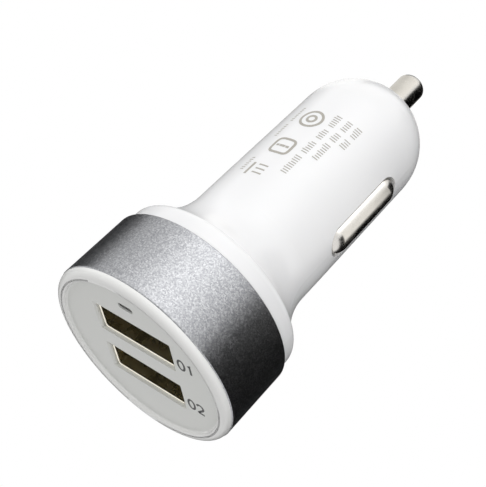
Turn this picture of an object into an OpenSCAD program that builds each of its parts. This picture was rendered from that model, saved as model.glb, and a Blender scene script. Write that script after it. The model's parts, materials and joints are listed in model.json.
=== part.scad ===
/* [Head] */
// Room between the corners of the port frames and the bezel's skirt
head_room = 0.28; // [0.2:0.01:1]
// Wall thickness of the metal ring
ring_wall = 1.0; // [0.8:0.05:1.2]
// Length of the metal ring along the axis
ring_h = 11.4; // [10.4:0.1:13]
// How far the bezel's lip stands in front of the ring
lip_h = 1.1; // [0.9:0.05:1.5]
// Depth of the face below the lip's crest
lip_recess = 0.6; // [0.4:0.05:0.8]
// Width of the flat crest of the lip
lip_land = 0.3; // [0.2:0.05:0.5]
// Thickness of the bezel's face plate
plate_t = 1.6; // [1.4:0.1:1.8]
// Wall thickness of the bezel's skirt inside the head
skirt_wall = 1.2; // [1:0.1:1.2]
// Length of the bezel's skirt behind the face plate
skirt_l = 4.8; // [4:0.1:6]
// Length of the bezel's flange that reaches into the metal ring
flange_lap = 0.7; // [0.5:0.1:0.9]
// How far the collar lies inside the ring's outer face
collar_in = 0.6; // [0.4:0.05:0.8]
// Length of the collar along the axis
collar_h = 3.4; // [2.8:0.1:4]
// Radius of the collar's rounded back edge
collar_round = 1.2; // [0.8:0.1:1.6]
// How far the flare's crease lies inside the collar
crease_in = 0.9; // [0.7:0.05:1.2]
// Depth of the round board's ledge below the collar's back edge
ledge_depth = 1.3; // [1:0.1:1.6]
// Width of the round board's ledge
ledge_w = 0.9; // [0.7:0.1:1.1]

/* [Barrel] */
// Diameter of the barrel where it seats in the car's socket
barrel_d = 21.0; // [20.7:0.05:21.3]
// Length of the concave flare between the collar and the barrel
flare_h = 8.2; // [7.4:0.1:9]
// Length of the barrel from the flare to the middle of the round nose
barrel_l = 26.6; // [26:0.1:30]
// Length of the untapered land next to the flare
land_l = 5.4; // [4.6:0.1:5.6]
// How much the barrel's radius draws in by the nose
draft = 0.1; // [0.05:0.01:0.2]
// Wall thickness of the moulded body
shell_wall = 1.5; // [1.4:0.05:1.6]

/* [Ports] */
// Inside width of a port's metal shell
port_w = 12.5; // [12.4:0.05:12.7]
// Inside height of a port's metal shell
port_h = 5.1; // [5.05:0.05:5.3]
// Sheet thickness of a port's metal shell
port_sheet = 0.3; // [0.25:0.05:0.35]
// Distance between the middles of the two ports
port_pitch = 8.55; // [8.2:0.05:8.8]
// Shift of the pair of ports away from the light
port_shift = -0.5; // [-0.8:0.1:0]
// How far the metal shell sits behind the face
port_set = 0.6; // [0.5:0.05:0.7]
// Height of a window in the face
window_h = 5.5; // [5.3:0.05:5.6]
// Bevel round a window
window_bevel = 0.25; // [0.1:0.05:0.4]
// Wall of the frame round a port's pocket
frame_wall = 0.8; // [0.6:0.1:1]
// Depth of the frame behind the face plate
frame_l = 2.8; // [2:0.1:4]
// Thickness of a port's tongue
tongue_t = 1.84; // [1.7:0.02:1.9]
// Gap between a tongue and the near wall of its shell
tongue_gap = 0.55; // [0.5:0.05:0.7]
// Width of a port's tongue
tongue_w = 11.1; // [10.9:0.1:11.3]
// How far the tongue's end lies behind the mouth of the shell
tongue_set = 4.1; // [4:0.1:4.4]
// Width of the light's slot
light_w = 2.6; // [2.2:0.1:3]
// Height of the light's slot
light_h = 1.0; // [0.8:0.1:1.2]
// Depth of the light guide's end below the face
light_set = 0.2; // [0.1:0.05:0.4]
// Room between the light's shoulder and the bezel's skirt
light_room = 0.3; // [0.2:0.05:0.5]

/* [Side contacts] */
// Length of the slot for a side contact
slot_l = 16.6; // [16:0.1:17]
// Width of the slot for a side contact
slot_w = 5.2; // [4.8:0.1:5.4]
// Distance from the middle of the slot to the middle of the round nose
slot_back = 12.3; // [12:0.1:12.6]
// How far a side contact stands out of the barrel
contact_out = 0.8; // [0.6:0.05:1]
// Depth of the inner flat that a side contact stops against
land_depth = 2.2; // [2:0.1:2.4]
// Sheet thickness of a side contact
contact_sheet = 0.4; // [0.3:0.05:0.45]
// Radius of the rounded crest of a side contact
contact_round = 2.2; // [1.6:0.1:2.3]
// Width of a side contact's flange
contact_flange = 0.8; // [0.7:0.05:0.9]
// Inward travel of a side contact
contact_travel = 1.1; // [1:0.05:1.3]
// Width of the bowed leaf behind a side contact
leaf_w = 3.0; // [2.6:0.1:3.2]
// Sheet thickness of the bowed leaf
leaf_t = 0.3; // [0.25:0.05:0.35]

/* [Centre tip] */
// Diameter of the centre tip
tip_d = 4.8; // [4.4:0.1:5]
// How far the centre tip stands out of the nose
tip_out = 7.2; // [6:0.1:8]
// Radius of the centre tip's rounded end
tip_round = 1.2; // [0.8:0.1:1.8]
// Inward travel of the centre tip
tip_travel = 2.5; // [2:0.1:2.8]
// Diameter of the tip's retaining flange
tip_flange_d = 6.8; // [6.4:0.1:7.2]
// Thickness of the tip's retaining flange
tip_flange_t = 1.0; // [0.8:0.1:1.2]
// Wall of the guide tube inside the nose
guide_wall = 1.5; // [1.2:0.1:1.8]
// Wire diameter of the tip's coil spring
wire_d = 0.45; // [0.4:0.05:0.5]
// Mean diameter of the tip's coil spring
coil_d = 4.0; // [3.8:0.1:4.2]
// Number of turns of the tip's coil spring
coil_turns = 5; // [4:0.5:5.5]

/* [Boards] */
// Thickness of both circuit boards
board_t = 1.2; // [1:0.1:1.3]
// Gap between the long board's edge and the wall
board_gap = 0.4; // [0.3:0.05:0.5]
// Width of each tab that joins the boards
tab_w = 2.2; // [1.8:0.1:2.3]
// Thickness of the rails that hold the long board
rail_w = 1.0; // [0.8:0.1:1.2]
// How far a rail covers the long board
rail_cover = 1.4; // [1.1:0.1:1.8]

/* [Parts on the boards] */
// Diameter of the choke
choke_d = 8.4; // [7.6:0.1:8.6]
// Height of the choke
choke_h = 4.6; // [4:0.1:5]
// Diameter of the choke's wire
choke_wire = 0.5; // [0.4:0.05:0.6]
// Room between the two capacitors and the barrel's wall
cap_room = 0.8; // [0.6:0.05:1.4]
// Length of the two capacitors
cap_l = 7.7; // [7:0.1:8]
// Length of the converter chip's moulding
converter_l = 3.9; // [3.6:0.1:4.2]
// Height of the converter chip's moulding
converter_h = 1.4; // [1.2:0.1:1.6]
// Width of the charging chip
charge_w = 2.9; // [2.6:0.1:3.2]
// Length of the charging chip's moulding
charge_l = 1.6; // [1.4:0.1:1.8]
// Height of the charging chip's moulding
charge_h = 1.1; // [0.9:0.1:1.2]
// Length of the power diode's moulding
diode_l = 4.2; // [3.8:0.1:4.6]
// Width of the power diode's moulding
diode_w = 2.6; // [2.4:0.1:2.8]
// Height of the power diode's moulding
diode_h = 2.1; // [1.9:0.1:2.3]
// Length of the chip fuse
fuse_l = 3.2; // [3:0.1:3.4]
// Length of the small chips
chip_l = 1.6; // [1.4:0.1:1.8]

/* [Fits] */
// Clearance between parts that slip together
slip = 0.1; // [0.08:0.01:0.12]
// Clearance round a side contact in its slot
contact_gap = 0.2; // [0.15:0.01:0.25]
// Clearance of a pin in its groove
pin_gap = 0.04; // [0.03:0.01:0.06]
// Height of the snap beads on the skirt
bead = 0.25; // [0.2:0.05:0.3]

/* [Hidden] */
$fn = 96;
eps = 0.01;

// Stations along the axis, counted from the lip's crest
ring_z0 = lip_h;
ring_z1 = ring_z0 + ring_h;
flare_z0 = ring_z1 + collar_h;
flare_z1 = flare_z0 + flare_h;
nose_z = flare_z1 + barrel_l;
slot_z = nose_z - slot_back;

// Sizes of a port and of the moulded frame that holds it
shell_w = port_w + 2 * port_sheet;
shell_h = port_h + 2 * port_sheet;
shell_corner = 0.6;
window_w = shell_w + 2 * slip;
port_ys = [port_shift - port_pitch / 2, port_shift + port_pitch / 2];
frame_x = window_w / 2 + frame_wall;
frame_y = port_pitch / 2 - port_shift + shell_h / 2 + slip + frame_wall;

// Radii of the head, counted outwards from the corners of the port frames
skirt_in = sqrt(frame_x * frame_x + frame_y * frame_y) + head_room;
skirt_r = skirt_in + skirt_wall;
head_in = skirt_r + slip;
seat_r = skirt_r + shell_wall;
bore_r = seat_r + slip;
ring_r = bore_r + ring_wall;
lip_r = ring_r - slip - lip_h;
collar_r = ring_r - collar_in;
crease_r = collar_r - crease_in;
seat_z = ring_z0 + flange_lap + slip;

// Radii of the barrel; the flare is an arc that meets the barrel without a crease
barrel_r = barrel_d / 2;
nose_r = barrel_r - draft;
drop = crease_r - barrel_r;
flare_r = (drop * drop + flare_h * flare_h) / (2 * drop);
barrel_in = barrel_r - shell_wall;

// Bezel: face plate, skirt with snap beads, and the light's slot
plate_back = lip_recess + plate_t;
skirt_z1 = plate_back + skirt_l;
bead_z = skirt_z1 - 1.6;
bead_turn = 30;
shoulder = 0.4;
light_y = skirt_in - light_room - shoulder - light_h / 2;

// Ports: each stands on the round board and its mouth stops against the face plate
mouth_z = lip_recess + port_set;
ledge_z = flare_z0 - ledge_depth;
round_z = ledge_z - board_t;
ledge_r = head_in - ledge_w;
port_l = round_z - mouth_z;
tongue_y = tongue_gap - port_h / 2;
tongue_foot = 2.0;
pin_mid = 2.0;
pin_side = 2.5;
pin_xs = [-pin_mid / 2 - pin_side, -pin_mid / 2, pin_mid / 2, pin_mid / 2 + pin_side];
pin_w = 1.0;
pin_t = 0.3;
pin_tail = 1.0;
pin_y = tongue_y + tongue_t - pin_t / 2 + pin_gap;
leg_w = 1.8;
finger_w = 1.6;
finger_x = 3.2;
finger_l = 4.2;
finger_bend = 0.3;
finger_gap = 0.35;
finger_z = mouth_z + tongue_set + 0.2;

// Light: a clear guide from the face to a lamp on the round board
guide_z0 = lip_recess + light_set;
lamp_w = 1.6;
lamp_h = 1.1;
lamp_l = 0.8;
lamp_z = round_z - lamp_l;

// Side contacts
land_x = barrel_r - land_depth;
land_rim = 0.8;
flange_x = land_x - contact_sheet;
contact_w = slot_w - 2 * contact_gap;
contact_l = slot_l - 2 * contact_gap;
contact_h = barrel_r + contact_out - flange_x;
leaf_span = contact_l - 2 * contact_sheet + contact_flange;
leaf_foot = 3.0;

// Centre tip
nose_top = nose_z + nose_r;
tip_top = nose_top + tip_out;
tip_r = tip_d / 2;
guide_l = 4.1;
flange_top = nose_top - guide_l;
flange_z = flange_top - tip_flange_t;
spigot_d = coil_d - wire_d - 0.5;
spigot_l = 1.2;
spring_l = tip_travel + coil_turns * wire_d + 0.85;
cup_z = flange_z - spring_l;
cup_t = 0.5;
cup_rim = 0.6;
cup_d = coil_d + wire_d + 1.5;
cup_leg = 2.0;
leg_t = 0.4;
board_end = cup_z - cup_t;

// Boards: the long one follows the inside of the flare and then the barrel
round_r = head_in - 2 * slip;
face_x = board_t / 2;
board_half = barrel_in - board_gap;
board_corner = 2.0;
throat_steps = 5;
tab_gap = 0.8;
tab_ys = [port_shift, port_shift + port_pitch / 2 + shell_h / 2 + tab_gap + tab_w / 2];
rail_in = board_half - rail_cover;
rail_sink = 0.4;
rail_z0 = flare_z1 - 1.6;
key_w = 1.6;

// Parts on the boards: two capacitors side by side fill the room between the board and the wall
choke_z = ledge_z + choke_d / 2 + 3.2;
choke_lip = 0.8;
cap_split = 0.5;
cap_r = (barrel_in - cap_room - (face_x + cap_split / 2) / sqrt(2)) / (1 + sqrt(2));
cap_z = ledge_z + 2.2;
cap_y = cap_r + cap_split / 2;
cap_x = -(face_x + cap_r);
cap_lead = 1.4;
lead_d = 0.5;
lead_y = 1.25;
row_gap = 0.9;
strip_w = rail_in - leaf_w / 2;
converter_w = strip_w - row_gap;
chip_y = leaf_w / 2 + strip_w / 2;
chip_z = slot_z - (converter_l + leaf_foot) / 2;
diode_z = cap_z + cap_lead + cap_l + row_gap + diode_l / 2 + 0.4;
diode_y = leaf_w / 2 + row_gap + diode_w / 2;
chip_w = 0.8;
chip_step = 1.3;
chip_row = leaf_w / 2 + row_gap + chip_w / 2;
chips_in_row = floor((rail_in - chip_row - chip_w / 2) / chip_step) + 1;

// A flat shape with straight sides and half-round ends, long along X
module stadium(l, w) {
  square([l - w, w], center = true);
  for (s = [-1, 1]) translate([s * (l - w) / 2, 0]) circle(d = w);
}

// A rectangle with rounded corners
module soft_rect(w, h, r) {
  square([w, h - 2 * r], center = true);
  square([w - 2 * r, h], center = true);
  for (sx = [-1, 1], sy = [-1, 1]) translate([sx * (w / 2 - r), sy * (h / 2 - r)]) circle(r);
}

// Turns a shape drawn as width and height into one that faces outwards from the right side
module face_out(x, z) {
  translate([x, 0, z]) rotate([0, 90, 0]) children();
}

// Draws its children on the right for side 1 and mirrored on the left for side -1
module on_side(side) {
  mirror([side < 0 ? 1 : 0, 0, 0]) children();
}

// Inner radius of the flare at one station
function throat_r(z) =
  barrel_r + flare_r - sqrt((flare_r + shell_wall) * (flare_r + shell_wall) - (flare_z1 - z) * (flare_z1 - z));

// The body's outer outline: ring seat, collar, trumpet flare, land, drafted barrel and round nose
module body_outline() {
  translate([0, seat_z]) square([seat_r, ring_z1 - seat_z + eps]);
  translate([0, ring_z1]) square([collar_r - collar_round, collar_h]);
  translate([0, ring_z1]) square([collar_r, collar_h - collar_round]);
  translate([collar_r - collar_round, flare_z0 - collar_round]) circle(collar_round);
  difference() {
    translate([0, flare_z0 - eps]) square([crease_r, flare_h + eps]);
    translate([barrel_r + flare_r, flare_z1]) circle(flare_r, $fn = 256);
  }
  translate([0, flare_z1 - eps]) square([barrel_r, land_l + eps]);
  polygon([[0, flare_z1 + land_l - eps], [barrel_r, flare_z1 + land_l], [nose_r, nose_z], [0, nose_z]]);
  intersection() {
    translate([0, nose_z]) circle(nose_r, $fn = 192);
    translate([0, nose_z - eps]) square([nose_r, nose_r + 1]);
  }
}

// The room inside the body: head, ledge for the round board, flared throat, barrel and nose
module body_room() {
  translate([0, seat_z - 1]) square([head_in, ledge_z - seat_z + 1]);
  translate([skirt_r, bead_z]) circle(bead + 1.5 * slip);
  intersection() {
    translate([0, ledge_z - eps]) square([ledge_r, flare_z1 - ledge_z + 2 * eps]);
    difference() {
      translate([0, ledge_z - 1]) square([head_in, flare_z1 - ledge_z + 1 + eps]);
      translate([barrel_r + flare_r, flare_z1]) circle(flare_r + shell_wall, $fn = 256);
    }
  }
  translate([0, flare_z1]) square([barrel_in, barrel_l]);
  intersection() {
    translate([0, nose_z]) circle(nose_r - shell_wall, $fn = 192);
    translate([0, nose_z - eps]) square([nose_r, nose_r]);
  }
}

module body_shell() {
  color("white") difference() {
    union() {
      rotate_extrude() difference() {
        body_outline();
        body_room();
      }
      rotate_extrude() difference() {
        translate([0, flange_top]) square([tip_r + slip + guide_wall, guide_l - 0.8 * shell_wall]);
        translate([0, flange_top - 1]) square([tip_r + slip, guide_l + 2]);
      }
      for (side = [-1, 1]) {
        contact_land(side);
        board_rails(side);
      }
      translate([-key_w / 2, ledge_r, skirt_z1 + slip]) cube([key_w, ledge_w + 0.4, ledge_z - skirt_z1 - slip]);
    }
    for (side = [-1, 1])
      on_side(side) face_out(land_x - shell_wall, slot_z) linear_extrude(2 * land_depth) stadium(slot_l, slot_w);
    translate([0, 0, flange_top - 1]) cylinder(r = tip_r + slip, h = guide_l + 3);
  }
}

// The flat inside the barrel wall that a side contact's flange stops against
module contact_land(side) {
  rim = contact_flange + land_rim;
  on_side(side) intersection() {
    translate([land_x, -slot_w / 2 - rim, slot_z - slot_l / 2 - rim])
      cube([land_depth, slot_w + 2 * rim, slot_l + 2 * rim]);
    cylinder(r = barrel_r - shell_wall / 2, h = nose_z);
  }
}

// Two ribs that make the groove for one edge of the long board
module board_rails(side) {
  outer = barrel_in + rail_sink;
  for (s = [-1, 1])
    translate([s * (face_x + slip + rail_w / 2), side * (rail_in + outer) / 2, (rail_z0 + board_end) / 2])
      cube([rail_w, outer - rail_in, board_end - rail_z0], center = true);
}

module metal_ring() {
  edge = 0.15;
  color("slategray") rotate_extrude() difference() {
    translate([bore_r, ring_z0]) square([ring_wall, ring_h]);
    for (z = [ring_z0, ring_z1])
      translate([ring_r, z]) rotate(45) square(edge * sqrt(2), center = true);
  }
}

// The lip: quarter round outside, flat crest, and an S curve down to the face
module lip_outline() {
  s = lip_recess / 2;
  crest_in = lip_r - lip_land;
  translate([lip_r, lip_h]) intersection() {
    circle(lip_h);
    translate([0, -lip_h]) square(lip_h);
  }
  translate([crest_in, 0]) square([lip_land, lip_h]);
  translate([crest_in, s]) circle(s);
  translate([crest_in - s, s]) square([s + lip_land, lip_h - s]);
  difference() {
    translate([crest_in - 2 * s, s]) square([s, lip_h - s]);
    translate([crest_in - 2 * s, s]) circle(s);
  }
}

module front_bezel() {
  color("white") difference() {
    union() {
      rotate_extrude() {
        lip_outline();
        translate([0, lip_recess]) square([lip_r, ring_z0 + flange_lap - lip_recess]);
        translate([0, lip_recess]) square([skirt_r, plate_t]);
        translate([skirt_in, plate_back]) square([skirt_wall, skirt_l]);
      }
      for (a = [bead_turn : 90 : 360])
        rotate(a) rotate_extrude(angle = bead_turn) translate([skirt_r, bead_z]) circle(bead);
      for (y = port_ys)
        translate([0, y, plate_back - eps])
          linear_extrude(frame_l)
            square([2 * frame_x, shell_h + 2 * slip + 2 * frame_wall], center = true);
    }
    for (y = port_ys) translate([0, y, 0]) {
      linear_extrude(plate_back) square([window_w, window_h], center = true);
      translate([0, 0, mouth_z]) linear_extrude(plate_t + frame_l) square([window_w, shell_h + 2 * slip], center = true);
      window_bevels();
    }
    translate([0, -light_y, 0]) linear_extrude(plate_back + 1) stadium(light_w, light_h);
  }
}

// Four chamfers along the edges of one window
module window_bevels() {
  b = window_bevel * sqrt(2);
  translate([0, 0, lip_recess]) for (s = [-1, 1]) {
    translate([0, s * window_h / 2, 0]) rotate([45, 0, 0]) cube([window_w, b, b], center = true);
    translate([s * window_w / 2, 0, 0]) rotate([0, 45, 0]) cube([b, window_h, b], center = true);
  }
}

module light_guide() {
  color("whitesmoke") translate([0, -light_y, 0]) {
    translate([0, 0, guide_z0]) linear_extrude(lamp_z - slip - guide_z0)
      stadium(light_w - 2 * slip, light_h - 2 * slip);
    translate([0, 0, plate_back]) linear_extrude(2 * shoulder)
      stadium(light_w + 2 * shoulder, light_h + 2 * shoulder);
  }
}

module status_light() {
  base_l = lamp_l / 2;
  color("lightyellow") translate([0, -light_y, lamp_z]) {
    linear_extrude(lamp_l - base_l + eps) soft_rect(lamp_w, lamp_h, 0.2);
    translate([0, 0, base_l]) linear_extrude(lamp_l - base_l) square([lamp_w + 0.4, lamp_h + 0.15], center = true);
  }
}

// The round board that both ports stand on
module round_board() {
  color("darkgreen") difference() {
    translate([0, 0, round_z]) cylinder(r = round_r, h = board_t);
    translate([-key_w / 2 - slip, ledge_r - slip, round_z - 1]) cube([key_w + 2 * slip, 4, board_t + 2]);
    for (y = port_ys) translate([0, y, round_z - 1]) {
      for (x = pin_xs) translate([x, pin_y, 0]) cylinder(d = 2 * pin_t + 0.4, h = board_t + 2, $fn = 32);
      for (s = [-1, 1])
        translate([s * (shell_w - port_sheet) / 2, 0, board_t / 2 + 1])
          cube([port_sheet + 4 * slip, leg_w + 4 * slip, board_t + 2], center = true);
    }
    for (y = tab_ys)
      translate([0, y, round_z + board_t / 2]) cube([board_t + 2 * slip, tab_w + 2 * slip, board_t + 2], center = true);
  }
}

// The long board: wide behind the ports, narrow in the barrel, with two tabs into the round board
module long_board() {
  step = (flare_z1 - ledge_z) / throat_steps;
  throat = [for (i = [0 : throat_steps])
    let (z = ledge_z + i * step)
    [min(throat_r(z), ledge_r) - board_gap, z]];
  side = concat(throat, [[board_half, board_end - board_corner], [board_half - board_corner, board_end]]);
  last = len(side) - 1;
  color("darkgreen") rotate([90, 0, 90]) linear_extrude(board_t, center = true) {
    polygon(concat(side, [for (i = [last : -1 : 0]) [-side[i][0], side[i][1]]]));
    for (y = tab_ys) translate([y - tab_w / 2, round_z + slip]) square([tab_w, board_t]);
  }
}

// One stamped port shell: rolled corners, four sprung fingers and two legs through the round board
module port_shell(y) {
  color("silver") translate([0, y, 0]) {
    difference() {
      translate([0, 0, mouth_z]) linear_extrude(port_l) difference() {
        soft_rect(shell_w, shell_h, shell_corner);
        soft_rect(port_w, port_h, shell_corner - port_sheet);
      }
      for (x = [-finger_x, finger_x])
        translate([x, 0, finger_z + finger_l / 2 - finger_gap / 2])
          cube([finger_w + 2 * finger_gap, shell_h + 1, finger_l + finger_gap], center = true);
    }
    for (x = [-finger_x, finger_x], s = [-1, 1]) sprung_finger(x, s);
    for (s = [-1, 1])
      translate([s * (shell_w - port_sheet) / 2, 0, round_z + board_t / 2 + 0.4])
        cube([port_sheet, leg_w, board_t + 0.8], center = true);
  }
}

// A finger drawn in profile: level at its root, then bent in towards the plug
module sprung_finger(x, s) {
  z = finger_z;
  root = shell_h / 2;
  bend = finger_bend;
  t = port_sheet;
  mirror([0, s < 0 ? 1 : 0, 0]) translate([x - finger_w / 2, 0, 0]) rotate([90, 0, 90])
    linear_extrude(finger_w)
      polygon([[root, z + finger_l + eps], [root, z + finger_l - 0.6], [root - bend, z + 1],
               [root, z], [root - t, z], [root - bend - t, z + 1],
               [root - t, z + finger_l - 0.6], [root - t, z + finger_l + eps]]);
}

// The moulded tongue with grooves for the pins, on a foot that fills the back of the shell
module port_tongue(y) {
  foot_w = port_w - 2 * slip;
  foot_h = port_h - 2 * slip;
  color("dimgray") translate([0, y, 0]) difference() {
    union() {
      translate([-tongue_w / 2, tongue_y, mouth_z + tongue_set])
        cube([tongue_w, tongue_t, port_l - tongue_set]);
      translate([-foot_w / 2, -foot_h / 2, round_z - tongue_foot])
        cube([foot_w, foot_h, tongue_foot]);
    }
    for (x = pin_xs)
      translate([x, pin_y, round_z])
        cube([pin_w + 2 * pin_gap, pin_t + 2 * pin_gap, 2 * (port_l - tongue_set - 0.6)], center = true);
  }
}

// Four pins: a flat blade on the tongue and a narrow tail through the round board
module port_pins(y) {
  color("gold") for (x = pin_xs) translate([x, y + pin_y, 0]) {
    translate([-pin_w / 2, -pin_t / 2, mouth_z + tongue_set + 0.7])
      cube([pin_w, pin_t, port_l - tongue_set - 0.7]);
    translate([-pin_t, -pin_t / 2, round_z - eps]) cube([2 * pin_t, pin_t, board_t + pin_tail + eps]);
  }
}

module upper_port_shell() { port_shell(port_ys[0]); }

module lower_port_shell() { port_shell(port_ys[1]); }

module upper_port_tongue() { port_tongue(port_ys[0]); }

module lower_port_tongue() { port_tongue(port_ys[1]); }

module upper_port_pins() { port_pins(port_ys[0]); }

module lower_port_pins() { port_pins(port_ys[1]); }

// A drum core standing on the long board
module choke_core() {
  color("dimgray") face_out(face_x, choke_z) rotate_extrude() {
    square([choke_d / 2, choke_lip]);
    square([choke_d / 4, choke_h]);
    translate([0, choke_h - choke_lip]) square([choke_d / 2, choke_lip]);
  }
}

// The coil round the drum, one ridge for each turn of its outer layer
module choke_winding() {
  room = choke_h - 2 * choke_lip - 2 * pin_gap;
  turns = floor(room / choke_wire);
  outer = choke_d / 2 - 0.4 - choke_wire / 2;
  step = room / turns;
  color("peru") face_out(face_x, choke_z) rotate_extrude() difference() {
    union() {
      translate([0, choke_lip + pin_gap]) square([outer, room]);
      for (i = [0 : turns - 1]) translate([outer, choke_lip + pin_gap + step * (i + 0.5)]) circle(d = step, $fn = 24);
    }
    square([choke_d / 4 + pin_gap, choke_h]);
  }
}

// A can with a rolled groove near its foot, lying on the board, with two bent leads
module capacitor(y, tone) {
  edge = 0.3;
  groove = 0.45;
  drop = cap_lead - lead_d;
  color(tone) translate([cap_x, y, cap_z + cap_lead]) {
    rotate_extrude() difference() {
      union() {
        square([cap_r - edge, cap_l]);
        translate([0, edge]) square([cap_r, cap_l - 2 * edge]);
        for (z = [edge, cap_l - edge]) translate([cap_r - edge, z]) circle(edge, $fn = 32);
      }
      translate([cap_r + 0.1, 1.5]) circle(groove, $fn = 32);
    }
    for (s = [-1, 1]) translate([0, s * lead_y, -drop]) {
      cylinder(d = lead_d, h = drop + edge, $fn = 24);
      rotate([0, 90, 0]) cylinder(d = lead_d, h = cap_r, $fn = 24);
    }
  }
}

module input_capacitor() { capacitor(-cap_y, "midnightblue"); }

module output_capacitor() { capacitor(cap_y, "lightslategray"); }

// A moulded chip on the board's face, with stepped leads along both ends
module leaded_chip(side, y, z, w, l, h, leads, pitch) {
  lead_w = 0.4;
  lead_t = 0.2;
  reach = 1.0;
  on_side(side) translate([face_x, y, z]) {
    color("dimgray") translate([h / 2 + 0.1, 0, 0]) cube([h, w, l], center = true);
    color("silver") for (i = [0 : leads - 1], s = [-1, 1])
      translate([0, (i - (leads - 1) / 2) * pitch - lead_w / 2, s * l / 2]) {
        translate([h / 2, 0, s > 0 ? -0.3 : -0.2]) cube([lead_t, lead_w, 0.5]);
        translate([0, 0, s > 0 ? 0.2 : -0.4]) cube([h / 2 + lead_t, lead_w, lead_t]);
        translate([0, 0, s > 0 ? 0.2 : -reach]) cube([lead_t, lead_w, reach - 0.2]);
      }
  }
}

module converter_chip() {
  leaded_chip(1, chip_y, chip_z, converter_w, converter_l, converter_h, 4, converter_w / 4);
}

module charge_chip() {
  leaded_chip(1, -chip_y, chip_z, charge_w, charge_l, charge_h, 3, charge_w / 3);
}

// A moulded power diode with wrapped end tabs
module power_diode() {
  tab = 0.4;
  on_side(-1) translate([face_x, diode_y, diode_z]) {
    color("dimgray") translate([0.1, -diode_w / 2, -diode_l / 2]) cube([diode_h, diode_w, diode_l]);
    color("silver") for (s = [-1, 1])
      translate([diode_h / 4, 0, s * (diode_l / 2 + tab / 4)]) cube([diode_h / 2, diode_w - 1, 1.5 * tab], center = true);
  }
}

// A ceramic part with metal caps at both ends
module end_cap_part(side, y, z, l, w, h) {
  cap = l / 5;
  on_side(side) translate([face_x, y, z]) {
    color("beige") translate([h / 2, 0, 0]) cube([h * 0.9, w * 0.94, l - 2 * cap], center = true);
    color("silver") for (s = [-1, 1])
      translate([h / 2, 0, s * (l - cap) / 2]) cube([h, w, cap + eps], center = true);
  }
}

module chip_fuse() {
  end_cap_part(-1, -diode_y, diode_z, fuse_l, fuse_l / 2, fuse_l / 4);
}

// Small capacitors and resistors in rows beside the leaf springs
module small_chips() {
  for (i = [0 : chips_in_row - 1]) {
    y = chip_row + chip_step * i;
    end_cap_part(1, y, slot_z + 2 * chip_l + row_gap, chip_l, chip_w, 0.7);
    end_cap_part(1, -y, slot_z + chip_l, chip_l, chip_w, 0.7);
    end_cap_part(-1, y, slot_z + chip_l, chip_l, chip_w, 0.5);
  }
}

// A pressed cup that straddles the end of the long board and carries the coil spring
module tip_cup() {
  color("gold") {
    translate([0, 0, board_end]) cylinder(d = cup_d, h = cup_t);
    translate([0, 0, board_end]) difference() {
      cylinder(d = cup_d, h = cup_t + cup_rim);
      translate([0, 0, -1]) cylinder(d = cup_d - 2 * leg_t, h = cup_t + cup_rim + 2);
    }
    for (s = [-1, 1])
      translate([s * (face_x + leg_t / 2), 0, board_end - cup_leg / 2 + eps])
        cube([leg_t, 3, cup_leg + 2 * eps], center = true);
  }
}

// Points of one ring of the coil's wire, at a share of the coil's whole turn
function wire_ring(t, sides) =
  let (a = 360 * coil_turns * t, r = coil_d / 2, z = cup_z + wire_d / 2 + (spring_l - wire_d) * t)
  [for (i = [0 : sides - 1])
    let (b = 360 * i / sides)
    [(r + wire_d / 2 * cos(b)) * cos(a), (r + wire_d / 2 * cos(b)) * sin(a), z + wire_d / 2 * sin(b)]];

// A helical compression spring from the cup to the tip's flange
module tip_spring() {
  sides = 8;
  rings = floor(20 * coil_turns);
  points = [for (k = [0 : rings]) each wire_ring(k / rings, sides)];
  walls = [for (k = [0 : rings - 1], i = [0 : sides - 1])
    let (j = (i + 1) % sides)
    each [[k * sides + i, k * sides + j, (k + 1) * sides + j],
          [k * sides + i, (k + 1) * sides + j, (k + 1) * sides + i]]];
  first = [for (i = [1 : sides - 2]) [0, i + 1, i]];
  last = [for (i = [1 : sides - 2]) [rings * sides, rings * sides + i, rings * sides + i + 1]];
  color("silver") polyhedron(points, concat(walls, first, last));
}

module centre_tip() {
  color("silver") {
    rotate_extrude() {
      translate([0, flange_z]) square([tip_r, tip_top - tip_round - flange_z]);
      translate([0, flange_z]) square([tip_r - tip_round, tip_top - flange_z]);
      translate([tip_r - tip_round, tip_top - tip_round]) circle(tip_round);
    }
    translate([0, 0, flange_z]) cylinder(d = tip_flange_d, h = tip_flange_t);
    translate([0, 0, flange_z - spigot_l]) cylinder(d = spigot_d, h = spigot_l + eps);
  }
}

// A pan with a rounded rim: a long middle and two round ends, standing h high
module pan(l, w, h, r) {
  for (s = [-1, 1]) translate([s * (l - w) / 2, 0, 0]) rotate_extrude() pan_edge(w, h, r);
  rotate([90, 0, 90]) linear_extrude(l - w, center = true) {
    pan_edge(w, h, r);
    mirror([1, 0]) pan_edge(w, h, r);
  }
}

// Half of the pan's cross-section
module pan_edge(w, h, r) {
  intersection() {
    union() {
      square([w / 2 - r, h]);
      square([w / 2, h - r]);
      translate([w / 2 - r, h - r]) circle(r);
    }
    square([w / 2, h]);
  }
}

// A pressed side contact: a hollow pan with a flange that stops inside the barrel
module side_contact(side) {
  t = contact_sheet;
  color("silver") on_side(side) face_out(flange_x, slot_z) {
    difference() {
      pan(contact_l, contact_w, contact_h, contact_round);
      translate([0, 0, -1]) pan(contact_l - 2 * t, contact_w - 2 * t, contact_h - t + 1, contact_round - t);
    }
    linear_extrude(t) difference() {
      stadium(contact_l + 2 * contact_flange, contact_w + 2 * contact_flange);
      stadium(contact_l - 2 * t, contact_w - 2 * t);
    }
  }
}

module right_contact() { side_contact(1); }

module left_contact() { side_contact(-1); }

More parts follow.
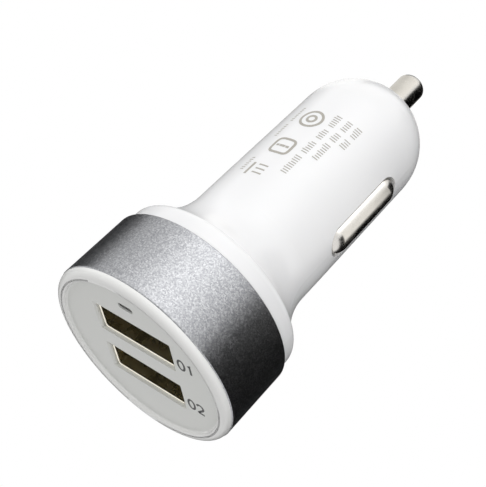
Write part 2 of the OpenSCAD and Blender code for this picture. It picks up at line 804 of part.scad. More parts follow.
// A strip bowed from a soldered foot on the board out to both ends of a contact's flange
module contact_leaf(side) {
  reach = flange_x - face_x;
  half = leaf_span / 2;
  bow = (reach * reach + half * half) / (2 * reach);
  color("goldenrod") on_side(side) translate([0, 0, slot_z]) rotate([90, 0, 0])
    linear_extrude(leaf_w, center = true) {
      intersection() {
        translate([face_x + bow, 0]) difference() {
          circle(bow, $fn = 128);
          circle(bow - leaf_t, $fn = 128);
        }
        translate([face_x, -2 * half]) square([reach, 4 * half]);
      }
      translate([face_x, -leaf_foot / 2]) square([leaf_t, leaf_foot]);
    }
}

module right_leaf() { contact_leaf(1); }

module left_leaf() { contact_leaf(-1); }

body_shell();
metal_ring();
front_bezel();
light_guide();
status_light();
round_board();
long_board();
upper_port_shell();
lower_port_shell();
upper_port_tongue();
lower_port_tongue();
upper_port_pins();
lower_port_pins();
choke_core();
choke_winding();
input_capacitor();
output_capacitor();
converter_chip();
charge_chip();
power_diode();
chip_fuse();
small_chips();
tip_cup();
tip_spring();
centre_tip();
right_contact();
left_contact();
right_leaf();
left_leaf();
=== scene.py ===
# %% [markdown]
# # Dressing a car charger plug
# The solids of the plug come from a CAD model. This lesson gives them their finishes, adds the thin
# things that a solid model leaves out, such as printed marks, and photographs the result. Every length
# is in metres, in the frame of the solids: the plug stands on its front rim, and its tip points up.

# %% Load the solids
import json
import math

import bmesh
import bpy
import numpy as np
from mathutils import Matrix, Vector


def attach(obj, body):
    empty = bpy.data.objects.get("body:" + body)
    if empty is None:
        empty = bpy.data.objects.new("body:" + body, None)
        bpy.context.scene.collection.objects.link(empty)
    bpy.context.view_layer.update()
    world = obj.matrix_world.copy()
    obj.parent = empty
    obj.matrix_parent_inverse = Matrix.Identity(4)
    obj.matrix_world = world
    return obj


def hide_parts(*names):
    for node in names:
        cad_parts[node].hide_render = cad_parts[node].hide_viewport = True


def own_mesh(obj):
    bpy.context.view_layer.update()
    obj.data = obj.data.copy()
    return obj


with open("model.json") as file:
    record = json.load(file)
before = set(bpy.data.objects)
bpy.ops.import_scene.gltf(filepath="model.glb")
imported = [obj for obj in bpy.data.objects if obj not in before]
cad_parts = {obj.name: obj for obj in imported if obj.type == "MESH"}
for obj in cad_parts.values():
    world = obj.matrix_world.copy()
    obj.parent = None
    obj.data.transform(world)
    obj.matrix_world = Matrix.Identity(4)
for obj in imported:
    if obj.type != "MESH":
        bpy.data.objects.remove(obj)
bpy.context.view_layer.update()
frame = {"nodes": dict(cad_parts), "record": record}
MM = 0.001
SKY_LIGHT = 0.90
GROUND_LIGHT = 0.2
KEY_LIGHT = 1.5
KEY_GLEAM = 2.5
FILL_LIGHT = 1.0
CARD_LIGHT = 0.15
LEFT_LIGHT = 3.2

# %% [markdown]
# ## Sizes read off the solids
# A printed mark must lie exactly on the barrel, which narrows a little towards the nose. The radius at
# a height could be looked up in the mesh point by point, but two radii from the plug's drawing and a
# straight line between them give the same answer. A print shows the solid's widest radius above the land.
# How far the bezel's face reaches is measured on the solid.

# %% Measure the barrel, the face and the ring
def corners(name):
    """The vertices of one solid as an array of rows x, y, z."""
    mesh = frame["nodes"][name].data
    points = np.empty(len(mesh.vertices) * 3, np.float32)
    mesh.vertices.foreach_get("co", points)
    return points.reshape(-1, 3).astype(float)


shell_points = corners("body_shell")
shell_radius = np.hypot(shell_points[:, 0], shell_points[:, 1])
land_radius = 10.5 * MM
nose_radius = 10.4 * MM
land_top = 29.5 * MM
nose_start = 50.7 * MM
face_level = 0.6 * MM
bezel_points = corners("front_bezel")
on_face_level = np.abs(bezel_points[:, 2] - face_level) < 0.01 * MM
face_radius = float(np.hypot(*bezel_points[on_face_level, :2].T).max())
print("the bezel's face ends at radius, in mm:", round(face_radius / MM, 2))
print("widest barrel point above the land, in mm:",
      round(float(shell_radius[shell_points[:, 2] > land_top].max()) / MM, 3))


def barrel_radius(height):
    """Radius of the barrel: straight up to the land's top, then a straight draw-in to the nose."""
    share = np.clip((height - land_top) / (nose_start - land_top), 0, 1)
    return land_radius + (nose_radius - land_radius) * share


# %% [markdown]
# ## The camera
# The photograph looks at the plug from in front and below, so that the ports show. A camera can be
# aimed with angles, but three directions are easier to check: which way is right in the picture, which
# way is down, and which way the lens looks. The lens is a long one, 77 mm, so the plug hardly tapers.

# %% Camera
picture_right = Vector((0.7745, 0.12293, 0.62051))
picture_down = Vector((0.38592, 0.68541, -0.61748))
looking = Vector((-0.50121, 0.71771, 0.48341))
offset = Vector((-14.112, 15.770, 140.377)) * MM
camera_place = -(picture_right * offset.x + picture_down * offset.y + looking * offset.z)

camera_data = bpy.data.cameras.new("camera")
camera_data.lens = 77.35
camera_data.sensor_width = 36.0
camera_data.clip_start, camera_data.clip_end = 0.01, 10
camera = bpy.data.objects.new("camera", camera_data)
turn = Matrix((picture_right, -picture_down, -looking)).transposed()
camera.matrix_world = Matrix.Translation(camera_place) @ turn.to_4x4()
bpy.context.scene.collection.objects.link(camera)
bpy.context.scene.camera = camera
print("camera at, in mm:", [round(c / MM, 1) for c in camera_place])

# %% [markdown]
# ## Small helpers for materials
# A finish is a little network: patterns feed colour, roughness and bump. Three helpers keep each
# network readable. The first makes an empty finish, the second adds one box to the network and sets
# its dials, and the third joins two boxes.

# %% Helpers for materials
def finish(name, colour, roughness, metal=0.0):
    """A new material with its base colour, roughness and metalness set on the shader."""
    material = bpy.data.materials.new(name)
    material.use_nodes = True
    shader = material.node_tree.nodes["Principled BSDF"]
    shader.inputs["Base Color"].default_value = (*colour, 1)
    shader.inputs["Roughness"].default_value = roughness
    shader.inputs["Metallic"].default_value = metal
    return material, material.node_tree, shader


def add(tree, kind, dials=None, **settings):
    """One more node: settings are its menus, and dials its numbered or named inputs."""
    made = tree.nodes.new("ShaderNode" + kind)
    for key, value in settings.items():
        setattr(made, key, value)
    for key, value in (dials or {}).items():
        made.inputs[key].default_value = value
    return made


def join(tree, source, output, target, entry):
    """A wire from one node's output to another's input."""
    tree.links.new(source.outputs[output], target.inputs[entry])


def place(tree, stretch=(1, 1, 1), turned=(0, 0, 0)):
    """Object coordinates, stretched: a pattern read through it stays fixed to the piece."""
    spot = add(tree, "TexCoord")
    mapping = add(tree, "Mapping", {"Scale": stretch, "Rotation": turned})
    join(tree, spot, "Object", mapping, "Vector")
    return mapping


def speckle(tree, where, scale, detail=3.0, rough=0.5):
    """Noise with its grain size set as grains per metre."""
    grain = add(tree, "TexNoise", {"Scale": scale, "Detail": detail, "Roughness": rough})
    join(tree, where, "Vector", grain, "Vector")
    return grain


def swing(tree, source, output, low, high, start=0.3, end=0.7):
    """Maps a pattern onto a range of values for a dial."""
    box = add(tree, "MapRange", {"From Min": start, "From Max": end, "To Min": low, "To Max": high})
    join(tree, source, output, box, "Value")
    return box


def tint(tree, source, output, *stops):
    """Maps a pattern onto colours: each stop is a place from 0 to 1 and a colour."""
    ramp = add(tree, "ValToRGB")
    marks = ramp.color_ramp.elements
    for _ in stops[2:]:
        marks.new(0.5)
    for mark, (spot, colour) in zip(marks, stops):
        mark.position = spot
        mark.color = (*colour, 1)
    join(tree, source, output, ramp, "Fac")
    return ramp


def relief(tree, source, output, shader, depth, strength=1.0, under=None):
    """Bump of a depth in metres on a shader, over another bump if one is given."""
    bump = add(tree, "Bump", {"Strength": strength, "Distance": depth})
    join(tree, source, output, bump, "Height")
    if under:
        join(tree, under, "Normal", bump, "Normal")
    join(tree, bump, "Normal", shader, "Normal")
    return bump


print("helpers ready")

# %% [markdown]
# ## White plastic
# The body is polished plastic. Real mouldings are never perfectly even: the gloss drifts by a few per
# cent where the melt cooled slower, the skin has a very shallow orange peel, and handling leaves hair
# lines along the barrel. A single white would look like paper. Two noises and a stretched one for the
# hair lines are enough, each kept so weak that the eye reads it as gloss and not as dirt.

# %% Finish: polished white
def white_plastic(name, colour, gloss, peel_depth, peel_size):
    """Moulded white: slow drift in tone and gloss, fine peel, and hair lines along the plug."""
    material, tree, shader = finish(name, colour, gloss)
    shader.inputs["IOR"].default_value = 1.49
    shader.inputs["Subsurface Weight"].default_value = 0.12
    shader.inputs["Subsurface Radius"].default_value = (1.0, 0.95, 0.9)
    shader.inputs["Subsurface Scale"].default_value = 0.6 * MM
    where = place(tree)
    drift = speckle(tree, where, 90, 2)
    tone = tint(tree, drift, "Fac", (0.3, [c * 0.985 for c in colour]), (0.7, colour))
    join(tree, tone, "Color", shader, "Base Color")
    hair = speckle(tree, place(tree, (1, 1, 0.02)), 9000, 2)
    rough = swing(tree, hair, "Fac", gloss, gloss + 0.10, 0.52, 0.75)
    join(tree, rough, "Result", shader, "Roughness")
    peel = speckle(tree, where, peel_size, 2)
    relief(tree, peel, "Fac", shader, peel_depth, 0.5)
    return material


polished_white = white_plastic("polished_white", (0.88, 0.88, 0.885), 0.17, 0.004 * MM, 900)
print("white finish:", polished_white.name)

# %% [markdown]
# ## The bezel's two finishes
# The bezel is one moulding, but its mould was polished round the lip and left with a fine grain on the
# face, so the face looks duller than the lip. The face is also painted greyer than the lip: painted shade
# for the recessed face, which takes less light than the lip. Two materials would need a seam. One material
# can tell the two apart by the distance from the plug's axis, and change over where the lip begins.

# %% Finish: bezel white
def bezel_plastic():
    """Glossy lip, and grained face painted greyer as shade: a share runs from 1 inside the face's radius to 0 on
    the lip.
    """
    material, tree, shader = finish("bezel_white", (0.90, 0.90, 0.885), 0.20)
    shader.inputs["IOR"].default_value = 1.49
    from_axis = add(tree, "VectorMath", operation="LENGTH")
    join(tree, place(tree, (1, 1, 0)), "Vector", from_axis, 0)
    share = add(tree, "MapRange", {"From Min": face_radius - 0.10 * MM, "From Max": face_radius + 0.25 * MM,
                                   "To Min": 1.0, "To Max": 0.0}, interpolation_type="SMOOTHSTEP")
    join(tree, from_axis, "Value", share, "Value")
    # painted shade: the face's darker grey stands in for the shade of the recessed face
    tone = tint(tree, share, "Result", (0.0, (0.90, 0.90, 0.885)), (1.0, (0.775, 0.782, 0.755)))
    join(tree, tone, "Color", shader, "Base Color")
    grain = speckle(tree, place(tree), 5200, 2)
    dull = swing(tree, grain, "Fac", 0.32, 0.40)
    sheen = add(tree, "Mix", data_type="FLOAT")
    join(tree, share, "Result", sheen, 0)
    sheen.inputs[2].default_value = 0.18
    join(tree, dull, "Result", sheen, 3)
    join(tree, sheen, 0, shader, "Roughness")
    relief(tree, grain, "Fac", shader, 0.005 * MM, 0.5)
    return material


bezel_white = bezel_plastic()
print("bezel finish:", bezel_white.name)

# %% [markdown]
# ## Blasted and dyed aluminium
# The ring was blasted with glass beads and dyed grey. Each bead leaves a tiny crater, so the surface
# sparkles grain by grain instead of mirroring the room. One could scatter real craters, but at a sixth
# of a millimetre they are cheaper as a cell pattern that tilts each grain its own way. A second, finer
# noise breaks the cells up, and the dye is a little uneven from grain to grain.

# %% Finish: blasted ring
def blasted_metal():
    """Grey metal whose grains tilt, each its own way."""
    material, tree, shader = finish("blasted_grey_metal", (0.38, 0.385, 0.40), 0.32, 1.0)
    where = place(tree)
    grains = add(tree, "TexVoronoi", {"Scale": 6200, "Randomness": 1.0})
    join(tree, where, "Vector", grains, "Vector")
    dye = tint(tree, grains, "Color", (0.15, (0.28, 0.285, 0.30)), (0.55, (0.38, 0.385, 0.40)),
               (0.9, (0.54, 0.545, 0.56)))
    join(tree, dye, "Color", shader, "Base Color")
    sheen = swing(tree, grains, "Color", 0.28, 0.38, 0.1, 0.9)
    join(tree, sheen, "Result", shader, "Roughness")
    craters = relief(tree, grains, "Distance", shader, 0.018 * MM, 0.5)
    fine = speckle(tree, where, 16000, 2)
    relief(tree, fine, "Fac", shader, 0.008 * MM, 0.6, craters)
    return material


ring_metal = blasted_metal()
print("ring finish:", ring_metal.name)

# %% [markdown]
# ## Plated metal
# The tip and the side contacts are pressed or turned parts with a nickel skin. It mirrors the room, but
# softly: the tool leaves fine lines, and a plug that has been pushed in has rub marks along its length.
# The lines are noise stretched along one axis. The warm grey of nickel is what tells it from chrome.

# %% Finish: nickel, port metal and strip metals
def plated_metal(name, colour, gloss, lines, scale=5200, wear=0.10):
    """Metal with fine lines in one direction and slow patches of wear in its gloss."""
    material, tree, shader = finish(name, colour, gloss, 1.0)
    drawn = speckle(tree, place(tree, lines), scale, 3)
    patches = speckle(tree, place(tree), 420, 3)
    tone = tint(tree, patches, "Fac", (0.35, [c * 0.93 for c in colour]), (0.65, colour))
    join(tree, tone, "Color", shader, "Base Color")
    rough = swing(tree, patches, "Fac", gloss, gloss + wear, 0.4, 0.7)
    join(tree, rough, "Result", shader, "Roughness")
    relief(tree, drawn, "Fac", shader, 0.0025 * MM, 0.6)
    return material


nickel_turned = plated_metal("turned_nickel", (0.70, 0.68, 0.64), 0.20, (0.04, 0.04, 1))
nickel_pressed = plated_metal("pressed_nickel", (0.72, 0.70, 0.665), 0.19, (1, 1, 0.04))
port_metal = plated_metal("warm_port_sheet", (0.66, 0.60, 0.42), 0.24, (0.05, 0.05, 1), 4200)
strip_metal = plated_metal("rolled_strip", (0.74, 0.58, 0.30), 0.28, (1, 1, 0.05))
gold_plate = plated_metal("gold_plate", (0.86, 0.66, 0.30), 0.22, (1, 1, 0.1))
# painted highlight: the lip's metal is painted paler than the port sheet, for a bright line round each mouth; its
# low roughness is the polish
lip_metal_painted_highlight = plated_metal("polished_lip_painted_highlight", (0.93, 0.885, 0.77), 0.13, (1, 1, 1), 4200, 0.05)
drawn_wire = plated_metal("drawn_wire", (0.62, 0.62, 0.62), 0.26, (1, 1, 1), 3000)
print("metal finishes ready")

# %% [markdown]
# ## Finishes inside the plug
# Nobody sees the boards unless the shell is taken off, but the ports give a glimpse, and a cut-away
# view shows everything. Each gets the plain look of its trade: green lacquer over copper, sooty iron
# powder, orange varnished wire, black moulded epoxy, biscuit-coloured ceramic and lacquered cans.

# %% Finishes: inner parts
def grainy(name, dark, light, roughness, scale, depth=0.004 * MM, metal=0.0):
    """A matt finish with two tones of grain and a bump from the same grain."""
    material, tree, shader = finish(name, light, roughness, metal)
    grain = speckle(tree, place(tree), scale, 4, 0.6)
    tone = tint(tree, grain, "Fac", (0.35, dark), (0.65, light))
    join(tree, tone, "Color", shader, "Base Color")
    rough = swing(tree, grain, "Fac", roughness - 0.06, roughness + 0.06)
    join(tree, rough, "Result", shader, "Roughness")
    relief(tree, grain, "Fac", shader, depth, 0.6)
    return material


def lacquered_board():
    """Green lacquer: darker bands where copper tracks lie under it."""
    material, tree, shader = finish("lacquered_board", (0.02, 0.16, 0.07), 0.32)
    shader.inputs["Coat Weight"].default_value = 0.4
    shader.inputs["Coat Roughness"].default_value = 0.15
    tracks = add(tree, "TexBrick", {"Scale": 260.0, "Mortar Size": 0.03, "Brick Width": 0.9,
                                    "Row Height": 0.32, "Color1": (0.020, 0.150, 0.065, 1),
                                    "Color2": (0.026, 0.185, 0.080, 1), "Mortar": (0.012, 0.095, 0.045, 1)})
    join(tree, place(tree, (1, 1, 1), (0, math.radians(90), 0)), "Vector", tracks, "Vector")
    join(tree, tracks, "Color", shader, "Base Color")
    relief(tree, tracks, "Fac", shader, -0.02 * MM, 0.5)
    return material


def smoked_lens():
    """The light's window: smoky clear plastic, frosted at its end."""
    material, tree, shader = finish("smoked_lens", (0.016, 0.014, 0.012), 0.28)
    shader.inputs["Transmission Weight"].default_value = 0.2
    frost = speckle(tree, place(tree), 7000, 2)
    rough = swing(tree, frost, "Fac", 0.22, 0.34)
    join(tree, rough, "Result", shader, "Roughness")
    relief(tree, frost, "Fac", shader, 0.003 * MM, 0.5)
    return material


board_green = lacquered_board()
lens = smoked_lens()
black_insert = grainy("black_port_plastic", (0.018, 0.018, 0.018), (0.030, 0.029, 0.028), 0.48, 6000)
iron_powder = grainy("iron_powder", (0.05, 0.05, 0.052), (0.09, 0.09, 0.092), 0.62, 4200)
varnished_wire = grainy("varnished_wire", (0.42, 0.17, 0.06), (0.62, 0.29, 0.11), 0.30, 2500, metal=0.6)
black_epoxy = grainy("black_epoxy", (0.020, 0.020, 0.021), (0.036, 0.036, 0.036), 0.55, 9000)
fired_ceramic = grainy("fired_ceramic", (0.40, 0.33, 0.22), (0.52, 0.45, 0.33), 0.45, 5000)
can_lacquer = grainy("can_lacquer", (0.030, 0.034, 0.060), (0.050, 0.056, 0.095), 0.26, 1400, 0.002 * MM)
lamp_yellow = grainy("lamp_phosphor", (0.62, 0.52, 0.16), (0.72, 0.62, 0.22), 0.35, 6000)
print("inner finishes ready")

# %% [markdown]
# ## Give every solid its finish
# The solids keep their shape, so only their material slots change. A table of names is easier to check
# than thirty separate lines, and the print at the end shows that none was missed.

# %% Dress the solids
def dress(material, *names):
    """Puts one material on each named solid, in place of the plain one that it was packed with."""
    for name in names:
        slots = frame["nodes"][name].data.materials
        slots.clear()
        slots.append(material)


dress(polished_white, "body_shell")
dress(bezel_white, "front_bezel")
dress(ring_metal, "metal_ring")
dress(nickel_turned, "centre_tip")
dress(nickel_pressed, "right_contact", "left_contact")
dress(port_metal, "upper_port_shell", "lower_port_shell")
dress(black_insert, "upper_port_tongue", "lower_port_tongue")
dress(gold_plate, "upper_port_pins", "lower_port_pins")
dress(lens, "light_guide")
dress(lamp_yellow, "status_light")
dress(board_green, "round_board", "long_board")
dress(iron_powder, "choke_core")
dress(varnished_wire, "choke_winding")
dress(can_lacquer, "input_capacitor", "output_capacitor")
dress(black_epoxy, "converter_chip", "charge_chip", "power_diode")
dress(fired_ceramic, "chip_fuse", "small_chips")
dress(strip_metal, "tip_cup", "right_leaf", "left_leaf")
dress(drawn_wire, "tip_spring")
bare = [n for n, o in frame["nodes"].items() if not o.data.materials or not o.data.materials[0].node_tree]
print("solids without a finish:", bare)

# %% [markdown]
# ## Printed marks
# Print is a film of ink a hundredth of a millimetre thick. It could be painted into the body's material
# with masks, but separate thin pieces stay sharp at any zoom and can be switched off. A stroke is a
# small profile carried along a path: here the profile is a flat box, a little sunk into the surface so
# that no light gets under it, and the path is drawn on the unrolled barrel or on the flat face.

# %% Strokes of ink
INK = 0.012 * MM
SINK = 0.02 * MM


def stroke(path, width, closed=False):
    """A flat ribbon along a path of rows u, v. The side direction at each point is the path's own
    direction turned by a quarter, and the four corners of the box lie half a width to each side, at
    the ink's height and at its sunk depth. Returns corner rows u, v, height and the faces."""
    path = np.asarray(path, float)
    if closed:
        ahead = np.roll(path, -1, 0) - np.roll(path, 1, 0)
    else:
        ahead = np.gradient(path, axis=0)
    ahead /= np.linalg.norm(ahead, axis=1)[:, None]
    side = np.stack([-ahead[:, 1], ahead[:, 0]], 1) * width / 2
    left, right = path + side, path - side
    count = len(path)
    high, low = np.full((count, 1), INK), np.full((count, 1), -SINK)
    grid = np.stack([np.hstack([left, high]), np.hstack([left, low]),
                     np.hstack([right, low]), np.hstack([right, high])], 1)
    rows = np.arange(count if closed else count - 1)
    a = (rows[:, None] * 4 + np.arange(4)).ravel()
    b = (rows[:, None] * 4 + (np.arange(4) + 1) % 4).ravel()
    total = count * 4
    faces = np.stack([a, b, (b + 4) % total, (a + 4) % total], 1).tolist()
    if not closed:
        faces += [[3, 2, 1, 0], [total - 4, total - 3, total - 2, total - 1]]
    return grid.reshape(-1, 3), faces


def on_barrel(rows):
    """Rolls u (round the barrel) and v (along it) onto the barrel: angle = u / radius."""
    u, v, lift = rows.T
    radius = barrel_radius(v) + lift
    angle = u / land_radius
    return np.stack([radius * np.cos(angle), radius * np.sin(angle), v], 1)


def on_face(rows):
    """Lays u, v on the bezel's face, which looks down: the ink's height goes downwards."""
    u, v, lift = rows.T
    return np.stack([u, v, face_level - lift], 1)


def ink_piece(name, strokes, lay, material):
    """One mesh from many strokes, with its faces turned outwards."""
    points, faces, start = [], [], 0
    for rows, polygons in strokes:
        points.append(lay(rows))
        faces += [[i + start for i in p] for p in polygons]
        start += len(rows)
    mesh = bpy.data.meshes.new(name)
    mesh.from_pydata(np.concatenate(points).tolist(), [], faces)
    mesh.update()
    piece = bpy.data.objects.new(name, mesh)
    bpy.context.scene.collection.objects.link(piece)
    outwards(piece)
    mesh.materials.append(material)
    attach(piece, "housing")
    return piece


def outwards(piece):
    """Recalculates the normals so that every face looks out of its solid."""
    loose = bmesh.new()
    loose.from_mesh(piece.data)
    bmesh.ops.recalc_face_normals(loose, faces=loose.faces)
    loose.to_mesh(piece.data)
    loose.free()


print("ink is", round(INK / MM, 3), "mm thick")

# %% [markdown]
# ## What the print shows
# The real print is small type and symbols. This plug carries none of them: in their place are plain
# shapes of the same weight, so that the barrel reads as printed. Rows of short ticks, like a ruler's,
# stand where lines of type would be, and a ring, a square with round corners and a few bars stand where
# the symbols would be.

# %% Print on the barrel
def tick_row(u, start, end, tall, words, rng):
    """Ticks across a line along the barrel, in groups with gaps between them."""
    made, spot = [], start
    step = 0.46 * MM
    for letters in words:
        for _ in range(letters):
            if spot < end:
                break
            reach = tall * (0.72 + 0.28 * rng.random())
            base = u + tall / 2
            made.append(stroke([(base, spot), (base - reach / 2, spot), (base - reach, spot)], 0.16 * MM))
            spot -= step
        spot -= 0.75 * MM
    return made


def circle_path(u, v, radius, count=40):
    """Points round a circle: cosine and sine of evenly spaced angles."""
    angle = np.linspace(0, 2 * np.pi, count, endpoint=False)
    return np.stack([u + radius * np.cos(angle), v + radius * np.sin(angle)], 1)


def soft_square(u, v, half, count=48):
    """A square with round corners: a circle whose cosine and sine are raised to a low power."""
    angle = np.linspace(0, 2 * np.pi, count, endpoint=False)
    c, s = np.cos(angle), np.sin(angle)
    return np.stack([u + half * np.sign(c) * abs(c) ** 0.45, v + half * np.sign(s) * abs(s) ** 0.45], 1)


rng = np.random.default_rng(7)
marks = []
marks += tick_row(-11.1 * MM, 45.6 * MM, 36.6 * MM, 1.15 * MM, (5, 4), rng)
marks += tick_row(-12.85 * MM, 45.5 * MM, 31.5 * MM, 1.15 * MM, (5, 4, 8), rng)
marks += tick_row(-14.7 * MM, 45.4 * MM, 27.6 * MM, 1.15 * MM, (6, 5, 6, 9), rng)
marks.append(stroke(circle_path(-18.0 * MM, 43.0 * MM, 1.75 * MM), 0.42 * MM, True))
marks.append(stroke(circle_path(-18.0 * MM, 43.0 * MM, 0.70 * MM), 0.42 * MM, True))
marks.append(stroke(soft_square(-18.1 * MM, 36.0 * MM, 1.6 * MM), 0.42 * MM, True))
marks.append(stroke([(-19.2 * MM, 36.0 * MM), (-18.1 * MM, 36.0 * MM), (-17.0 * MM, 36.0 * MM)], 0.42 * MM))
for v in (31.2, 30.3, 29.4):
    marks.append(stroke([(-18.6 * MM, v * MM), (-17.8 * MM, v * MM), (-17.0 * MM, v * MM)], 0.26 * MM))
marks.append(stroke([(-19.5 * MM, 31.4 * MM), (-19.5 * MM, 30.1 * MM), (-19.5 * MM, 28.7 * MM)], 0.42 * MM))
marks += tick_row(-21.3 * MM, 45.3 * MM, 37.0 * MM, 0.6 * MM, (8, 7), rng)
marks += tick_row(-20.9 * MM, 32.4 * MM, 28.5 * MM, 0.7 * MM, (7,), rng)

warm_ink = grainy("warm_grey_ink", (0.36, 0.34, 0.30), (0.46, 0.44, 0.395), 0.55, 9000, 0.001 * MM)
barrel_print = ink_piece("barrel_print", marks, on_barrel, warm_ink)
print("marks on the barrel:", len(marks))

# %% [markdown]
# ## Rolled lips of the ports
# The sheet of a port's shell is rolled outwards at its mouth, which guides the plug in. It is too thin to
# matter in the solids. Bending the sheet itself would mean a new shell, so a bead is laid over the edge
# instead: a round profile carried along a rectangle with round corners, all four corners from one formula.
# The bead's metal is painted much paler than the shell's: a painted highlight that draws a bright line
# round the opening.

# %% Port lips
MIDDLE_OF_SHEET = 0.22 * MM
BEAD_ABOVE_EDGE = 0.02 * MM


def port_lip(name, solid_name, bead, corner, count=96, sides=12):
    """A bead round a port's mouth. The path takes a circle of the corner's radius and moves each
    quarter outwards by the straight halves, x = sign(cos) a + r cos and y = sign(sin) b + r sin. The
    profile turns about the path: outwards by bead cos(p), and up by bead sin(p)."""
    ends = corners(solid_name)
    low, high = ends.min(0), ends.max(0)
    mouth = low[2]
    centre = (low + high) / 2
    half_x, half_y = (high[:2] - low[:2]) / 2 - MIDDLE_OF_SHEET
    turn = (np.arange(count) + 0.5) * 2 * np.pi / count
    out = np.stack([np.cos(turn), np.sin(turn)], 1)
    path = out * corner + np.sign(out) * (half_x - corner, half_y - corner)
    lean = np.arange(sides) * 2 * np.pi / sides
    rim = path[:, None] + out[:, None] * (bead * np.cos(lean))[None, :, None]
    rise = np.broadcast_to(mouth + BEAD_ABOVE_EDGE + bead * np.sin(lean), (count, sides))
    points = np.concatenate([rim + centre[:2], rise[..., None]], 2).reshape(-1, 3)
    i, j = np.meshgrid(np.arange(count), np.arange(sides), indexing="ij")
    i, j = i.ravel(), j.ravel()
    ahead, beside = (i + 1) % count, (j + 1) % sides
    faces = np.stack([i * sides + j, ahead * sides + j, ahead * sides + beside, i * sides + beside], 1)
    mesh = bpy.data.meshes.new(name)
    mesh.from_pydata(points.tolist(), [], faces.tolist())
    mesh.materials.append(lip_metal_painted_highlight)
    mesh.shade_smooth()
    piece = bpy.data.objects.new(name, mesh)
    bpy.context.scene.collection.objects.link(piece)
    outwards(piece)
    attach(piece, "housing")
    return piece


for port in ("upper", "lower"):
    port_lip(port + "_port_lip", port + "_port_shell", 0.17 * MM, 0.45 * MM)
print("port lips rolled")

# %% [markdown]
# ## Springs copied into pieces of their own
# When the tip or a side contact is pushed in, the spring behind it has to shorten, or the moving metal
# would cut through it. A solid can't do that, so each spring is copied into a piece of its own, with its
# loose corners merged, and the solid is hidden. The copy is not flattened here. The coil stands in its
# cup, and each leaf stands on the long board. A coil wound anew for each pose would look no different at this
# size.

# %% Springs
def giving_spring(name, joint, metal):
    """A copy of a spring's solid with its loose corners merged, which takes the hidden solid's place. Its length L
    is the greatest distance from the fixed end along the travel; it is measured, but the copy is not flattened."""
    spring = joint["deforming_nodes"][0]
    letter = spring["mode"][-1]
    axis = "xyz".index(letter)
    fixed = spring["fixed_end_" + letter + "_m"]
    length = np.abs(corners(spring["node"])[:, axis] - fixed).max()
    mesh = frame["nodes"][spring["node"]].data.copy()
    mesh.name = name
    mesh.materials.clear()
    mesh.materials.append(metal)
    merged = bmesh.new()
    merged.from_mesh(mesh)
    bmesh.ops.remove_doubles(merged, verts=merged.verts, dist=0.001 * MM)
    bmesh.ops.recalc_face_normals(merged, faces=merged.faces)
    merged.to_mesh(mesh)
    merged.free()
    mesh.shade_smooth()
    mesh.set_sharp_from_angle(angle=math.radians(35))
    piece = bpy.data.objects.new(name, mesh)
    bpy.context.scene.collection.objects.link(piece)
    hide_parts(spring["node"])
    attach(piece, "housing")
    direction, anchor = [0, 0, 0], [0, 0, 0]
    direction[axis], anchor[axis] = 1, fixed
    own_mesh(piece)
    return piece


sliding = {joint["name"]: joint for joint in frame["record"]["behaviour"]["joints"]}
giving_spring("tip_coil", sliding["tip_press"], drawn_wire)
giving_spring("right_spring_leaf", sliding["right_contact_press"], strip_metal)
giving_spring("left_spring_leaf", sliding["left_contact_press"], strip_metal)

# %% [markdown]
# ## Numbers beside the ports
# The ports are numbered in black on the face, to the right of each opening. A font would do, but four
# strokes make a numeral that matches the width of the ink elsewhere. The face looks down, so up for a
# reader is towards the light, which is the minus y side.

# %% Numbers on the face
def arc(u, v, ru, rv, start, end, count=18):
    """Part of an ellipse between two angles in degrees. Zero points right, and 90 points up."""
    angle = np.radians(np.linspace(start, end, count))
    return np.stack([u + ru * np.cos(angle), v + rv * np.sin(angle)], 1)


def numeral(kind, left, base, tall):
    """Strokes of one numeral in a cell, with v pointing up for the reader."""
    wide = tall * 0.56
    mid = left + wide / 2
    if kind == "0":
        return [(arc(mid, base + tall / 2, wide / 2, tall / 2, 0, 345, 24), True)]
    if kind == "1":
        return [([(mid - wide * 0.3, base + tall * 0.78), (mid, base + tall), (mid, base + tall / 2), (mid, base)],
                 False)]
    bowl = arc(mid, base + tall * 0.70, wide / 2, tall * 0.30, 165, -35)
    foot = np.array([(left, base), (left + wide / 2, base), (left + wide, base)])
    return [(np.vstack([bowl, foot[:1]]), False), (foot, False)]


def label(text, left, middle, tall):
    """Numerals side by side, then flipped so that up is towards minus y."""
    made = []
    for place_in_row, kind in enumerate(text):
        for path, closed in numeral(kind, left + place_in_row * tall * 0.80, -middle - tall / 2, tall):
            path = np.asarray(path, float) * (1, -1)
            made.append(stroke(path, 0.35 * MM, closed))
    return made


black_ink = grainy("black_ink", (0.012, 0.012, 0.012), (0.022, 0.022, 0.022), 0.45, 9000, 0.001 * MM)
numbers = label("01", 7.7 * MM, -4.4 * MM, 1.95 * MM) + label("02", 7.7 * MM, 4.2 * MM, 1.95 * MM)
port_numbers = ink_piece("port_numbers", numbers, on_face, black_ink)
print("strokes in the numbers:", len(numbers))

# %% [markdown]
# ## The studio
# White plastic and metal ask for opposite things. The plastic wants even light from all round, and the
# metal wants something bright and something dark to mirror. So the sky gives even light, one big soft
# box hangs on the light's side of the plug, and one dark card is bent round the other side. The sky is
# pure white to the camera and in mirrors, and dimmer as a light, so the white plastic keeps its shape.

